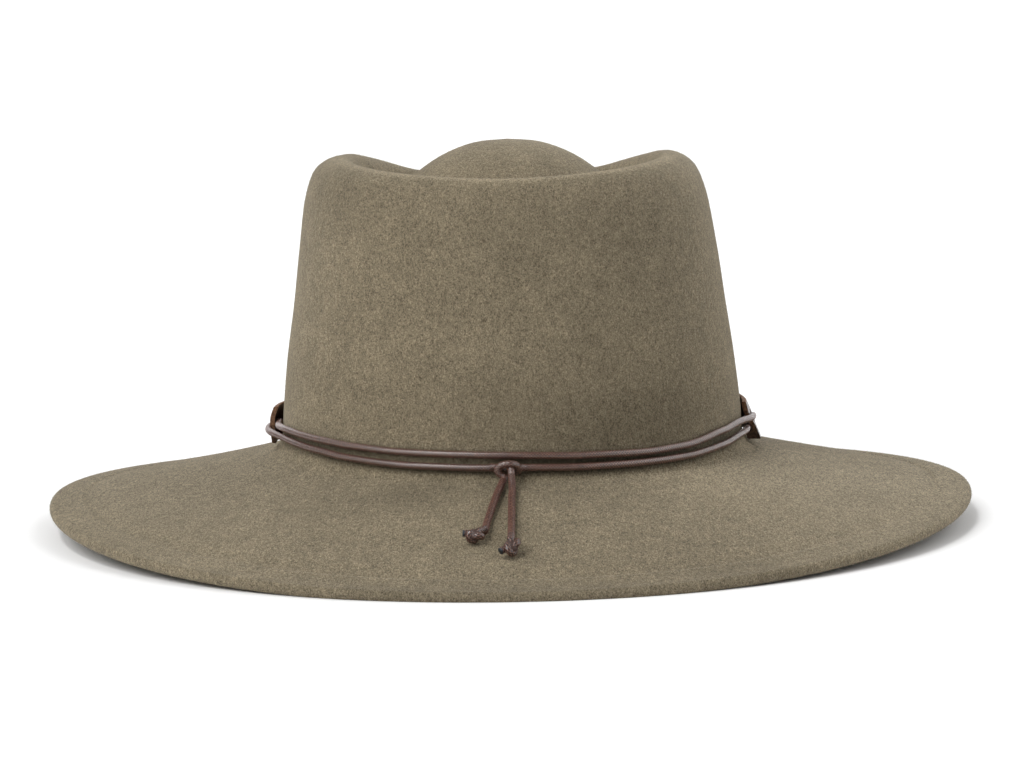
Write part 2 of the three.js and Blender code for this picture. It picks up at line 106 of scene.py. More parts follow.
# How far the whole hat is let down, so that its lowest felt is pressed flat where it rests.
PRESSED_FLAT = 0.6
FOOT = TABLE["crown_foot"]
# How far off the crown the search for a free radius goes, and its step.
SEARCH = {"far": 24, "step": 0.05}


def smoothstep(x, low, high):
    x = np.clip((np.asarray(x, float) - low) / (high - low), 0, 1)
    return x * x * (3 - 2 * x)


def spline(points, where):
    """Centripetal curve through points, an array whose first axis is the point number."""
    points = np.asarray(points, float)
    first = 2 * points[0] - points[1]
    last = 2 * points[-1] - points[-2]
    points = np.concatenate([first[None], points, last[None]])
    gaps = np.linalg.norm(np.diff(points, axis=0), axis=-1, keepdims=True) ** 0.5
    where = np.clip(np.asarray(where, float), 0, len(points) - 3)
    i = np.minimum(where.astype(int), len(points) - 4)
    share = (where - i).reshape((-1,) + (1,) * (points.ndim - 1))
    p0, p1, p2, p3 = points[i], points[i + 1], points[i + 2], points[i + 3]
    d0, d1, d2 = gaps[i], gaps[i + 1], gaps[i + 2]
    d0 = np.where(d0 < LEAST_GAP, d1, d0)
    d2 = np.where(d2 < LEAST_GAP, d1, d2)
    t1 = ((p1 - p0) / d0 - (p2 - p0) / (d0 + d1) + (p2 - p1) / d1) * d1
    t2 = ((p2 - p1) / d1 - (p3 - p1) / (d1 + d2) + (p3 - p2) / d2) * d1
    c2 = -3 * p1 + 3 * p2 - 2 * t1 - t2
    c3 = 2 * p1 - 2 * p2 + t1 + t2
    return p1 + t1 * share + c2 * share**2 + c3 * share**3


def section_point(section, angle):
    """The points [r, shift, z] of one section at some angles."""
    back = np.sin(angle) < 0
    n = np.where(back, section["n_back"], section["n_front"])
    end = np.where(back, section["back"], section["front"])
    across = np.abs(np.cos(angle) / section["a"]) ** n
    along = np.abs(np.sin(angle) / section["b"]) ** n
    r = (across + along) ** (-1 / n)
    z = end + (section["side"] - end) * np.abs(np.cos(angle)) ** section["dip"]
    return np.stack([r, np.full_like(r, section["shift"]), z], axis=-1)


def upper_face(angles, finer=1.0):
    """Points (ring, angle, [r, shift, z]) of the felt's upper face and each ring's wall, in mm."""
    corners = [section_point(s, angles) for s in TABLE.values()]
    top = np.zeros_like(corners[0])
    top[:, 1], top[:, 2] = DOME_TOP["shift"], DOME_TOP["z"]
    corners.append(top)
    walls = [s["wall"] for s in TABLE.values()] + [DOME_TOP["wall"]]
    where = []
    for row, section in enumerate(TABLE.values()):
        rings = max(1, round(section["rings"] * finer))
        where += [row + k / rings for k in range(rings)]
    where.append(len(TABLE))
    wall = np.interp(where, range(len(walls)), walls)
    return spline(np.array(corners), where), wall


def beside_crown(angle, z, clear):
    """Radius outside the crown, at one angle and height, that keeps clear of the felt, in mm."""
    face, _ = upper_face(np.array([angle]), finer=0.5)
    path = face[:, 0][:, [0, 2]] - [0, PRESSED_FLAT]
    above = int(np.argmax(path[:, 1] > z))
    share = (z - path[above - 1, 1]) / (path[above, 1] - path[above - 1, 1])
    wall = path[above - 1, 0] + share * (path[above, 0] - path[above - 1, 0])
    tries = wall + np.arange(0, SEARCH["far"], SEARCH["step"])
    spots = np.stack([tries, np.full_like(tries, z)], axis=-1)[:, None]
    steps = np.diff(path, axis=0)
    along = ((spots - path[:-1]) * steps).sum(-1) / (steps**2).sum(-1)
    nearest = path[:-1] + np.clip(along, 0, 1)[..., None] * steps
    gaps = np.linalg.norm(spots - nearest, axis=-1).min(axis=1)
    return float(tries[np.argmax(gaps >= clear)])


def around_foot(angle, r, z):
    """The point at one angle and radius about the middle of the crown's foot."""
    return np.array([r * math.cos(angle) + FOOT["shift"], r * math.sin(angle), z])


def make_mesh(name, points, faces, material, smooth=True):
    """A new object of one material. points are in mm."""
    mesh = bpy.data.meshes.new(name)
    mesh.from_pydata((np.asarray(points) * MM).tolist(), [], [tuple(f) for f in faces])
    mesh.update()
    obj = bpy.data.objects.new(name, mesh)
    bpy.context.collection.objects.link(obj)
    mesh.materials.append(material)
    if smooth:
        mesh.polygons.foreach_set("use_smooth", [True] * len(mesh.polygons))
    return obj


def grid_quads(rows, around):
    """The quads between rings of points, each ring closed."""
    i, j = np.meshgrid(np.arange(rows - 1), np.arange(around), indexing="ij")
    k = (j + 1) % around
    quads = np.stack([i * around + j, i * around + k, (i + 1) * around + k, (i + 1) * around + j], axis=-1)
    return quads.reshape(-1, 4)


def closed_faces(rows, around):
    """The quads between rings, and triangles from the first and last ring to one more point each."""
    faces = [tuple(q) for q in grid_quads(rows, around)]
    last, first_tip = (rows - 1) * around, rows * around
    for j in range(around):
        k = (j + 1) % around
        faces.append((k, j, first_tip))
        faces.append((last + j, last + k, first_tip + 1))
    return faces


def add_values(obj, name, values):
    """A number at each point of the object's mesh, which its material can read."""
    attribute = obj.data.attributes.new(name, "FLOAT", "POINT")
    attribute.data.foreach_set("value", values)


def even_points(points, step):
    """The curve through points, in even steps, and the length along it at each step."""
    fine = spline(points, np.linspace(0, len(points) - 1, len(points) * FINE_STEPS))
    length = np.concatenate([[0], np.cumsum(np.linalg.norm(np.diff(fine, axis=0), axis=1))])
    count = max(2, round(length[-1] / step) + 1)
    marks = np.linspace(0, length[-1], count)
    return np.stack([np.interp(marks, length, fine[:, k]) for k in range(3)], axis=-1), marks


def carried_frames(path):
    """Two directions across the path at each point, turned as little as possible on the way."""
    ahead = np.gradient(path, axis=0)
    ahead /= np.linalg.norm(ahead, axis=1)[:, None]
    side = np.cross(ahead[0], [0, 0, 1])
    if np.linalg.norm(side) < 0.1:
        side = np.cross(ahead[0], [1, 0, 0])
    sides = []
    for t in ahead:
        side = side - t * side.dot(t)
        side = side / np.linalg.norm(side)
        sides.append(side)
    sides = np.array(sides)
    return sides, np.cross(ahead, sides)


# The cord's braid: plaits round it, length of one and depth between them in mm, how flat a plait
# is across and along (less is flatter), and the mesh's rings for each plait and sides round it.
BRAID = {"columns": 7, "pitch": 1.1, "relief": 0.3, "across": 0.8, "along": 0.4, "rings": 5, "sides": 35}


def braid_relief(along, turn):
    """Height of the braid's surface, 0 to 1, from the length along the cord and the turn round it."""
    a = BRAID["columns"] * turn / (2 * math.pi) + along / BRAID["pitch"]
    b = BRAID["columns"] * turn / (2 * math.pi) - along / BRAID["pitch"]
    over = (np.floor(a) + np.floor(b)) % 2 == 0
    fa, fb = a - np.floor(a) - 0.5, b - np.floor(b) - 0.5
    across = np.abs(np.cos(math.pi * np.where(over, fb, fa)))
    length = np.abs(np.cos(math.pi * np.where(over, fa, fb)))
    return across ** BRAID["across"] * length ** BRAID["along"]


def cord_mesh(name, points, diameter, material, relief=1.0):
    """A braided cord through points. Returns the object and its middle line in mm."""
    path, marks = even_points(points, BRAID["pitch"] / BRAID["rings"])
    sides = BRAID["sides"]
    across, up = carried_frames(path)
    turn = np.linspace(0, 2 * math.pi, sides, endpoint=False)
    height = braid_relief(marks[:, None], turn[None])
    radius = diameter / 2 - BRAID["relief"] * relief * (1 - height)
    ring = path[:, None] + radius[..., None] * (
        np.cos(turn)[None, :, None] * across[:, None] + np.sin(turn)[None, :, None] * up[:, None]
    )
    verts = np.concatenate([ring.reshape(-1, 3), path[[0, -1]]])
    obj = make_mesh(name, verts, closed_faces(len(path), sides), material)
    # The braid's height, which the cord's material reads to paint its grooves dark as shade.
    add_values(obj, "crest", np.concatenate([height.ravel(), [0.5, 0.5]]))
    return obj, path


def join(name, objects):
    with bpy.context.temp_override(active_object=objects[0], selected_editable_objects=objects):
        bpy.ops.object.join()
    objects[0].name = name
    return objects[0]


def dress(obj, node):
    """Fixes a piece to the hat, in the place of one CAD node."""
    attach(obj, "root")
    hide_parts(node)


class Shader:
    """Short calls for building one material's nodes."""

    def __init__(self, name):
        self.material = bpy.data.materials.new(name)
        self.material.use_nodes = True
        self.nodes = self.material.node_tree.nodes
        self.links = self.material.node_tree.links
        self.nodes.clear()
        self.out = self.nodes.new("ShaderNodeOutputMaterial")
        self.bsdf = self.nodes.new("ShaderNodeBsdfPrincipled")
        self.links.new(self.bsdf.outputs[0], self.out.inputs["Surface"])
        self.place = self.nodes.new("ShaderNodeNewGeometry").outputs["Position"]

    def put(self, socket, value):
        """Links another node's output to the socket, or sets its plain value."""
        if isinstance(value, bpy.types.NodeSocket):
            self.links.new(value, socket)
        else:
            socket.default_value = value

    def set(self, **values):
        for name, value in values.items():
            self.put(self.bsdf.inputs[name.replace("_", " ")], value)

    def noise(self, scale, detail=2.0, rough=0.5, stretch=(1, 1, 1), at=(0, 0, 0)):
        mapping = self.nodes.new("ShaderNodeMapping")
        self.put(mapping.inputs["Vector"], self.place)
        mapping.inputs["Scale"].default_value = stretch
        mapping.inputs["Location"].default_value = at
        node = self.nodes.new("ShaderNodeTexNoise")
        self.put(node.inputs["Vector"], mapping.outputs[0])
        node.inputs["Scale"].default_value = scale
        node.inputs["Detail"].default_value = detail
        node.inputs["Roughness"].default_value = rough
        return node.outputs["Fac"]

    def attribute(self, name):
        node = self.nodes.new("ShaderNodeAttribute")
        node.attribute_name = name
        return node.outputs["Fac"]

    def grey(self, value, low, high, dark, light):
        """A grey that a colour is multiplied by, from dark at low to light at high."""
        return self.mix(self.spread(value, low, high), (dark,) * 3, (light,) * 3)

    def spread(self, value, low, high, out_low=0.0, out_high=1.0):
        """The value carried from the range low to high into out_low to out_high."""
        node = self.nodes.new("ShaderNodeMapRange")
        for socket, x in zip(node.inputs, (value, low, high, out_low, out_high)):
            self.put(socket, x)
        return node.outputs[0]

    def times(self, base, *greys):
        """The colour base multiplied by each of the greys."""
        for grey in greys:
            base = self.mix(1.0, base, grey, "MULTIPLY")
        return base

    def mix(self, share, a, b, kind="MIX"):
        node = self.nodes.new("ShaderNodeMix")
        node.data_type = "RGBA"
        node.blend_type = kind
        self.put(node.inputs["Factor"], share)
        for socket, value in ((node.inputs[6], a), (node.inputs[7], b)):
            self.put(socket, value if isinstance(value, bpy.types.NodeSocket) else (*value, 1))
        return node.outputs[2]

    def bump(self, height, distance, strength=1.0, normal=None):
        node = self.nodes.new("ShaderNodeBump")
        self.put(node.inputs["Height"], height)
        node.inputs["Distance"].default_value = distance
        node.inputs["Strength"].default_value = strength
        if normal is not None:
            self.put(node.inputs["Normal"], normal)
        return node.outputs[0]


def felt_material():
    s = Shader("felt")
    grain = s.noise(2500, detail=2, rough=0.6, stretch=(1, 0.4, 0.75))
    hair = s.noise(1000, detail=2, rough=0.6, stretch=(1, 0.4, 0.7), at=(3, 1, 2))
    clump = s.noise(340, detail=2, rough=0.5, stretch=(1, 0.7, 0.8), at=(6, 2, 5))
    blotch = s.noise(110, detail=3, rough=0.5, stretch=(1, 0.7, 1), at=(7, 4, 1))
    cloud = s.noise(30, detail=2, rough=0.5, stretch=(1, 0.6, 1), at=(1, 8, 5))
    base = (0.200, 0.166, 0.111)
    coarse = s.attribute("coarse")
    base = s.mix(coarse, base, s.times(base, s.grey(grain, 0.3, 0.7, 0.0, 2.0)))
    base = s.mix(coarse, base, s.times(base, s.grey(hair, 0.3, 0.7, 0.6, 1.4)))
    base = s.times(
        base,
        s.grey(clump, 0.3, 0.7, 0.92, 1.08),
        s.grey(blotch, 0.3, 0.7, 0.91, 1.09),
        s.grey(cloud, 0.3, 0.7, 0.94, 1.06),
        # The felt's colour is multiplied by its painted light and shade, read from the mesh.
        s.grey(s.attribute("painted_light_and_shade"), 0.0, 2.0, 0.0, 2.0),
    )
    s.set(Base_Color=base, Roughness=0.95)
    s.bsdf.inputs["Specular IOR Level"].default_value = 0.1
    s.bsdf.inputs["Sheen Weight"].default_value = 0.22
    s.bsdf.inputs["Sheen Roughness"].default_value = 0.4
    s.bsdf.inputs["Sheen Tint"].default_value = (0.9, 0.83, 0.68, 1)
    rough = s.bump(grain, 0.0004, 0.9)
    s.set(Normal=s.bump(hair, 0.0005, 0.7, rough))
    return s.material


def cord_material(name, wax, shade=1.0):
    """Braided cord with its grooves painted dark as shade: wax, 0 to 1, is its gloss, and shade multiplies its
    colours.
    """
    s = Shader(name)
    fibre = s.noise(2600, detail=2, rough=0.6)
    patch = s.noise(420, detail=2, rough=0.6, at=(2, 2, 9))
    # The braid's grooves are painted nearly black as shade, and its crests carry the cord's colour.
    crest = s.spread(s.attribute("crest"), 0.25, 1.0)
    low, high = (0.014, 0.006, 0.004), (0.205, 0.094, 0.066)
    base = s.mix(crest, tuple(shade * x for x in low), tuple(shade * x for x in high))
    base = s.times(base, s.grey(fibre, 0.3, 0.7, 0.4, 1.7), s.grey(patch, 0.3, 0.7, 0.8, 1.2))
    s.set(Base_Color=base, Roughness=s.spread(fibre, 0.3, 0.7, 0.62 - 0.2 * wax, 0.44 - 0.2 * wax))
    s.bsdf.inputs["Specular IOR Level"].default_value = 0.2 + 0.5 * wax
    s.bsdf.inputs["Coat Weight"].default_value = wax
    s.bsdf.inputs["Coat Roughness"].default_value = 0.08
    s.bsdf.inputs["Coat IOR"].default_value = 2.0
    s.set(Normal=s.bump(patch, 0.0002, 0.6, s.bump(fibre, 0.00012, 0.7)))
    s.set(Coat_Normal=s.bump(fibre, 0.00004, 0.6))
    return s.material


def plain_material(name, roughness, dark, light=None, scale=1):
    """One colour, or two mixed by a noise of the given scale."""
    s = Shader(name)
    base = (*dark, 1) if light is None else s.mix(s.noise(scale), dark, light)
    s.set(Base_Color=base, Roughness=roughness)
    return s.material


def leather_materials():
    """The leather's smooth face, and its fibrous cut edge, which is painted darker low down as shade below the
    cord.
    """
    face = Shader("leather")
    pore = face.noise(900, detail=3, rough=0.6)
    wear = face.noise(120, detail=3, rough=0.6, at=(4, 2, 7))
    base = face.mix(face.spread(wear, 0.3, 0.7), (0.060, 0.036, 0.028), (0.120, 0.074, 0.060))
    face.set(Base_Color=base, Roughness=face.spread(pore, 0.3, 0.7, 0.26, 0.42))
    face.set(Normal=face.bump(pore, 0.00015, 0.6))
    edge = Shader("leather_edge")
    fibre = edge.noise(1100, detail=4, rough=0.7)
    patch = edge.noise(300, detail=3, rough=0.6, at=(5, 5, 1))
    base = edge.mix(edge.spread(fibre, 0.36, 0.64), (0.050, 0.022, 0.010), (0.360, 0.195, 0.105))
    base = edge.mix(edge.spread(patch, 0.35, 0.75, 0.0, 0.7), base, (0.20, 0.095, 0.045))
    split = edge.nodes.new("ShaderNodeSeparateXYZ")
    edge.put(split.inputs[0], edge.place)
    # Painted shade: the cut edge darkens towards its bottom, below the cord.
    base = edge.times(base, edge.grey(split.outputs["Z"], 0.0305, 0.0360, 0.30, 1.0))
    edge.set(Base_Color=base, Roughness=0.85, Normal=edge.bump(fibre, 0.0003, 0.9))
    return face.material, edge.material


FELT = felt_material()
CORD_MATERIAL = cord_material("waxed_cord", wax=0.5)
TAIL_MATERIAL = cord_material("waxed_cord_tail", shade=1.05, wax=0.15)
KNOT_MATERIAL = cord_material("waxed_cord_knot", shade=0.85, wax=0.35)
TIP = plain_material("cord_tip", 0.35, (0.012, 0.018, 0.026))
# The cord packed inside the end knots, coloured darker than the cord as painted shade.
SHADED_CORE = plain_material("cord_inside_shaded", 0.5, (0.030, 0.014, 0.010), (0.070, 0.034, 0.026), scale=900)
# The nap's hairs, two colours mixed by noise, are on the whole lighter than the felt as painted sheen on their
# tips.
NAP_HAIR_SHEEN = plain_material("felt_hair_painted_sheen", 0.8, (0.14, 0.115, 0.075), (0.42, 0.36, 0.26), scale=700)
LEATHER, LEATHER_EDGE = leather_materials()

# The cord, and its gap from the leather. The gap from the crown is smaller.
CORD = {"diameter": 2.6, "gap": 0.3, "crown_gap": 0.05}
# The strands leave the crown for the leather from blend to settled, in degrees before its end.
STRAND = {"blend": 24, "settled": 1, "points": 15, "loop_points": 7}
# Which strand runs on which face of the leather at each end.
LACING = {
    "left": {"outside": "lower", "inside": "upper"},
    "right": {"outside": "upper", "inside": "lower"},
}
# Heights of the middle of the cord's two strands at each swing, in degrees from the middle of
# the back: (swing, upper, lower).
STRANDS = {
    "left": [
        (0, 36.7, 32.3), (20, 37.1, 32.6), (34, 37.7, 33.3), (46, 38.3, 34.3), (60, 38.4, 34.7), (90, 36.3, 34.5),
    ],
    "right": [
        (0, 36.6, 32.4), (15, 35.7, 31.8), (28, 35.1, 31.6), (39, 35.5, 31.6), (52, 37.3, 32.4), (66, 38.3, 33.4),
        (84, 37.0, 33.0),
    ],
}
# The leather: gap is its distance from the crown, hole_cut the radius of the holes, which the
# cord fills, hole_inset their distance from the end, and pressed how deep the tight cord is
# pressed into the leather's outer face.
BAND = {"thickness": 1.8, "gap": 0.4, "hole_cut": 2.21, "hole_inset": 7.0, "pressed": 1.0}
# Heights of the leather's four lines, from its bottom edge to its top edge.
BAND_LINES = (28.6, 33.4, 38.4, 42.6)
# Swing of each end of the leather, and how far its four lines stand off the crown at each
# stretch past the end, in degrees: (past, bottom, under, over, top).
BAND_ENDS = {
    "left": (88.5, [(0, 0.6, 2.6, 3.0, 1.8), (4, 0.6, 2.6, 2.8, 1.6), (15, 0, 0, 0, 0)]),
    "right": (82, [(0, 3.3, 3.0, 0.8, 0.0), (9, 3.6, 3.2, 2.0, 0.3), (30, 0, 0, 0, 0)]),
}

# Free tails, from the knot down the brim to their end knots.
TAILS = {
    "left": [
        (-2.3, -112.5, 28.8), (-2.6, -113.7, 28.3), (-3.0, -115.3, 27.7), (-3.5, -117.4, 26.9),
        (-4.1, -120.0, 26.0), (-4.7, -122.8, 25.1), (-5.2, -125.6, 24.2), (-5.7, -128.4, 23.3),
        (-6.2, -131.2, 22.4), (-6.6, -134.0, 21.5), (-7.1, -136.8, 20.5), (-7.6, -139.6, 19.5),
        (-8.0, -142.4, 18.6), (-8.3, -145.2, 17.8), (-8.6, -148.2, 17.2), (-8.9, -151.0, 16.9),
    ],
    "right": [
        (0.5, -114.8, 31.0), (0.6, -115.7, 29.8), (0.7, -116.8, 28.6), (0.7, -118.7, 27.3),
        (0.7, -121.4, 25.9), (0.5, -125.0, 24.6), (0.5, -128.4, 23.4), (0.4, -131.8, 22.3),
        (0.4, -135.2, 21.1), (0.4, -138.6, 20.0), (0.3, -142.0, 18.9), (0.3, -145.4, 17.7),
        (0.2, -148.8, 16.6), (0.2, -152.2, 15.7), (0.1, -155.2, 15.2), (0.1, -157.7, 15.0),
    ],
}
END_KNOTS = {"left": (-12.0, -153.5, 16.1), "right": (0.0, -162.4, 13.6)}
# The knot's middle: place across and height, its distance from the crown, and half its width.
KNOT = {"across": -0.5, "height": 32.4, "clear": 3.1, "half": 3.0}


def swing_angle(side, swing):
    """The angle about the upright axis, from the swing away from the middle of the back."""
    return -math.pi / 2 + (-swing if side == "left" else swing)


def from_table(rows, place):
    """The values of a table's row at one place of its first column, eased from row to row."""
    rows = np.array(rows, float)
    place = min(max(place, rows[0, 0]), rows[-1, 0])
    after = min(int(np.searchsorted(rows[:, 0], place, side="right")), len(rows) - 1)
    low, high = rows[after - 1], rows[after]
    share = float(smoothstep(place, low[0], high[0]))
    return low[1:] + (high[1:] - low[1:]) * share


def band_radii(angle):
    """Radii of the leather's inner face at one angle, at its four lines."""
    end, stand = BAND_ENDS["left" if math.cos(angle) < 0 else "right"]
    swing = math.degrees(abs(math.atan2(math.cos(angle), -math.sin(angle))))
    off = from_table(stand, swing - end)
    return np.array([beside_crown(angle, z, BAND["gap"]) for z in BAND_LINES]) + off


def beside_leather(angle, z, face):
    """Radius of the cord's middle where it runs along one face of the leather."""
    clear = CORD["diameter"] / 2 + CORD["gap"]
    off = BAND["thickness"] + clear - BAND["pressed"] if face == "outside" else -clear
    return float(np.interp(z, BAND_LINES, band_radii(angle))) + off


def strand_height(side, swing, strand):
    return from_table(STRANDS[side], math.degrees(swing))[0 if strand == "upper" else 1]


def lacing_loop(side):
    """Where the cord turns through the leather's hole: its swing, both ends and the way onward."""
    reach = (CORD["diameter"] + BAND["thickness"]) / 2 + CORD["gap"]
    swing = math.radians(BAND_ENDS[side][0]) + (BAND["hole_inset"] - reach) / FOOT["a"]
    angle = swing_angle(side, swing)
    ends = {}
    for face, strand in LACING[side].items():
        z = strand_height(side, swing, strand)
        ends[face] = around_foot(angle, beside_leather(angle, z, face), z)
    forward = np.array([-math.sin(angle), math.cos(angle), 0]) * (-1 if side == "left" else 1)
    return {"swing": swing, "forward": forward, **ends}


def loop_points(side):
    """The half turn through one hole, from the outside to the inside."""
    loop = lacing_loop(side)
    radius = np.linalg.norm(loop["outside"] - loop["inside"]) / 2
    points = []
    for turn in np.linspace(0, math.pi, STRAND["loop_points"]):
        point = loop["outside"] + (loop["inside"] - loop["outside"]) * (1 - math.cos(turn)) / 2
        points.append(point + loop["forward"] * radius * math.sin(turn))
    return points


def strand_half(side, from_swing, face):
    """One strand, from near the middle of the back out to the leather's hole."""
    loop = lacing_loop(side)
    end = math.radians(BAND_ENDS[side][0])
    leaves, settles = end - math.radians(STRAND["blend"]), end - math.radians(STRAND["settled"])
    points = []
    for i in range(STRAND["points"]):
        swing = from_swing + (loop["swing"] - from_swing) * i / STRAND["points"]
        angle = swing_angle(side, swing)
        near = float(smoothstep(swing, leaves, settles))
        height = strand_height(side, swing, LACING[side][face])
        on_crown = beside_crown(angle, height, CORD["diameter"] / 2 + CORD["crown_gap"])
        lifted = on_crown + (beside_leather(angle, height, face) - on_crown) * near
        points.append(around_foot(angle, max(on_crown, lifted), height))
    return points


def lacing_points():
    shift = (KNOT["across"] - FOOT["shift"]) / FOOT["b"]
    reach = KNOT["half"] / FOOT["b"]
    return [
        *strand_half("left", reach - shift, "outside"),
        *loop_points("left"),
        *strand_half("left", 0, "inside")[:0:-1],
        *strand_half("right", 0, "outside"),
        *loop_points("right"),
        *strand_half("right", reach + shift, "inside")[::-1],
    ]


def make_knot():
    """The hitch at the middle of the back: two turns of cord, with both tails leaving below."""
    r = beside_crown(-math.pi / 2, KNOT["height"], KNOT["clear"])
    centre = np.array([KNOT["across"], -r, KNOT["height"]])
    # Each place is across, out towards the viewer and up from the knot's middle.
    over = [
        (6.5, -1.5, 0.0), (4.4, -1.4, 0.0), (2.4, -1.2, 0.4), (0.6, -0.9, 1.0), (-0.6, -0.4, 1.3),
        (-0.4, 0.4, 1.2), (0.3, 1.4, 0.7), (0.8, 2.6, 0.2), (0.95, 3.6, -0.5), (1.0, 4.4, -1.6),
    ]
    under = [
        (-6.5, -1.5, 0.4), (-4.6, -1.4, 0.3), (-2.4, -1.3, 0.0), (0.0, -1.1, -0.5), (2.2, -0.6, -1.2),
        (3.3, 0.3, -0.9), (3.5, 1.2, 0.4), (2.6, 2.3, 1.5), (1.0, 3.0, 2.0), (-0.9, 2.9, 1.9),
        (-2.7, 2.3, 1.3), (-3.7, 1.8, 0.1), (-3.4, 1.6, -1.3), (-2.2, 1.5, -2.3), (-1.3, 1.9, -2.8),
        (-1.8, 2.7, -3.6),
    ]
    parts = []
    for name, route in (("over", over), ("under", under)):
        points = [centre + np.array([x, -y, z]) for x, y, z in route]
        obj, _ = cord_mesh(f"knot_{name}", points, CORD["diameter"], CORD_MATERIAL)
        parts.append(obj)
    return join("knot", parts)


# Overhand knots on the ends of the tails: size of the turns across, along and out, turn of the
# knot and tilt of its plane in degrees, lift off the brim, place and half sizes of the cord
# packed inside it, and the ways in from the tail and out to the cut tip.
END_KNOT_FORMS = {
    "left": {
        "size": (0.76, 0.68, 1.0), "turn": 190, "tilt": 42, "lift": 0.2,
        "core": ((0.0, -0.1, 0.2), (2.6, 2.3, 1.7)),
        "lead": [(4.0, 3.4, -0.8), (2.8, 2.7, -0.7)], "tip": [(-2.3, 0.5, 0.2), (-3.7, 0.4, 0.5)],
    },
    "right": {
        "size": (0.80, 0.98, 1.05), "turn": -119, "tilt": 48, "lift": 0.4,
        "core": ((0.0, -0.6, 0.2), (2.5, 2.6, 1.7)),
        "lead": [(0.1, 5.0, -1.4), (0.1, 3.9, -0.6)], "tip": [(-2.2, -1.5, 0.2), (-3.3, -2.4, 0.5)],
    },
}
# The part of a trefoil curve that the overhand knot follows, in degrees, and its points.
TREFOIL = {"from": 225, "to": 495, "points": 13}
# The cut tip: diameter, depth of its braid, and points before and past the cord's end.
CUT_TIP = {"diameter": 2.35, "relief": 0.3, "points": (-0.5, -0.1, 0.3)}
# The ball of cord inside the knot, coloured darker than the cord as painted shade: rings, sides,
# and the angle at which its ends are cut flat.
BALL = {"rings": 9, "sides": 16, "end": 1.4}


def trefoil(turn, size):
    points = []
    for t in np.linspace(math.radians(TREFOIL["from"]), math.radians(TREFOIL["to"]), TREFOIL["points"]):
        x, y = -math.sin(t) - 2 * math.sin(2 * t), math.cos(t) - 2 * math.cos(2 * t)
        x, y = x * math.cos(turn) - y * math.sin(turn), x * math.sin(turn) + y * math.cos(turn)
        points.append(tuple(np.array([x, y, -math.sin(3 * t)]) * size))
    return points


def make_end_knot(side):
    """An overhand knot on the end of one tail, with the cut tip of the cord standing out."""
    form = END_KNOT_FORMS[side]
    centre = np.array(END_KNOTS[side]) + (0, 0, form["lift"])
    tilt = math.radians(form["tilt"])
    c, s = math.cos(tilt), math.sin(tilt)

    def placed(point):
        x, y, z = point
        return centre + np.array([x, y * c - z * s, y * s + z * c])

    loops = trefoil(math.radians(form["turn"]), form["size"])
    route = [placed(point) for point in [*form["lead"], *loops, *form["tip"]]]
    body, path = cord_mesh(f"end_{side}", route, CORD["diameter"], KNOT_MATERIAL)
    ahead = (path[-1] - path[-2]) / np.linalg.norm(path[-1] - path[-2])
    tip_path = [path[-1] + ahead * d for d in CUT_TIP["points"]]
    tip, _ = cord_mesh(f"tip_{side}", tip_path, CUT_TIP["diameter"], TIP, CUT_TIP["relief"])
    place, half = form["core"]
    rings, sides = BALL["rings"], BALL["sides"]
    heights = np.linspace(-BALL["end"], BALL["end"], rings)
    turns = np.linspace(0, 2 * math.pi, sides, endpoint=False)
    up, around = np.meshgrid(heights, turns, indexing="ij")
    ball = np.stack([np.cos(up) * np.cos(around), np.cos(up) * np.sin(around), np.sin(up)], axis=-1)
    verts = [placed(point + place) for point in (ball * half).reshape(-1, 3)]
    faces = [tuple(q) for q in grid_quads(rings, sides)]
    faces += [tuple(range(sides - 1, -1, -1)), tuple(range((rings - 1) * sides, rings * sides))]
    core = make_mesh(f"core_{side}", verts, faces, SHADED_CORE)
    return join(f"end_knot_visual_{side}", [body, tip, core])


dress(make_knot(), "lacing_knot")

for side_name, tail_points in TAILS.items():
    end_knot = make_end_knot(side_name)
    dress(end_knot, f"end_knot_{side_name}")
    tail, tail_path = cord_mesh(f"tail_visual_{side_name}", tail_points, CORD["diameter"], TAIL_MATERIAL)
    dress(tail, f"tail_{side_name}")

# The lacing is pulled tight, so its braid stands up less.
TIGHT_RELIEF = 0.6
lacing, _ = cord_mesh("lacing_visual", lacing_points(), CORD["diameter"], CORD_MATERIAL, TIGHT_RELIEF)
dress(lacing, "lacing_cord")

# The leather's mesh: stations along it, rounding of its long edges, lowest share, highest share
# and number of the heights across its face, and steps of the curve through its four lines.
BAND_MESH = {"stations": 221, "corner": 0.35, "heights": (0.12, 0.88, 7), "fine": 31}
# The rough inner side is swollen where the right end is bent out below the cord. It fades out
# over the degrees past the end and over the heights given.
SWELLING = {"by": 3.2, "past": (1, 9), "heights": (30.6, 32.2)}


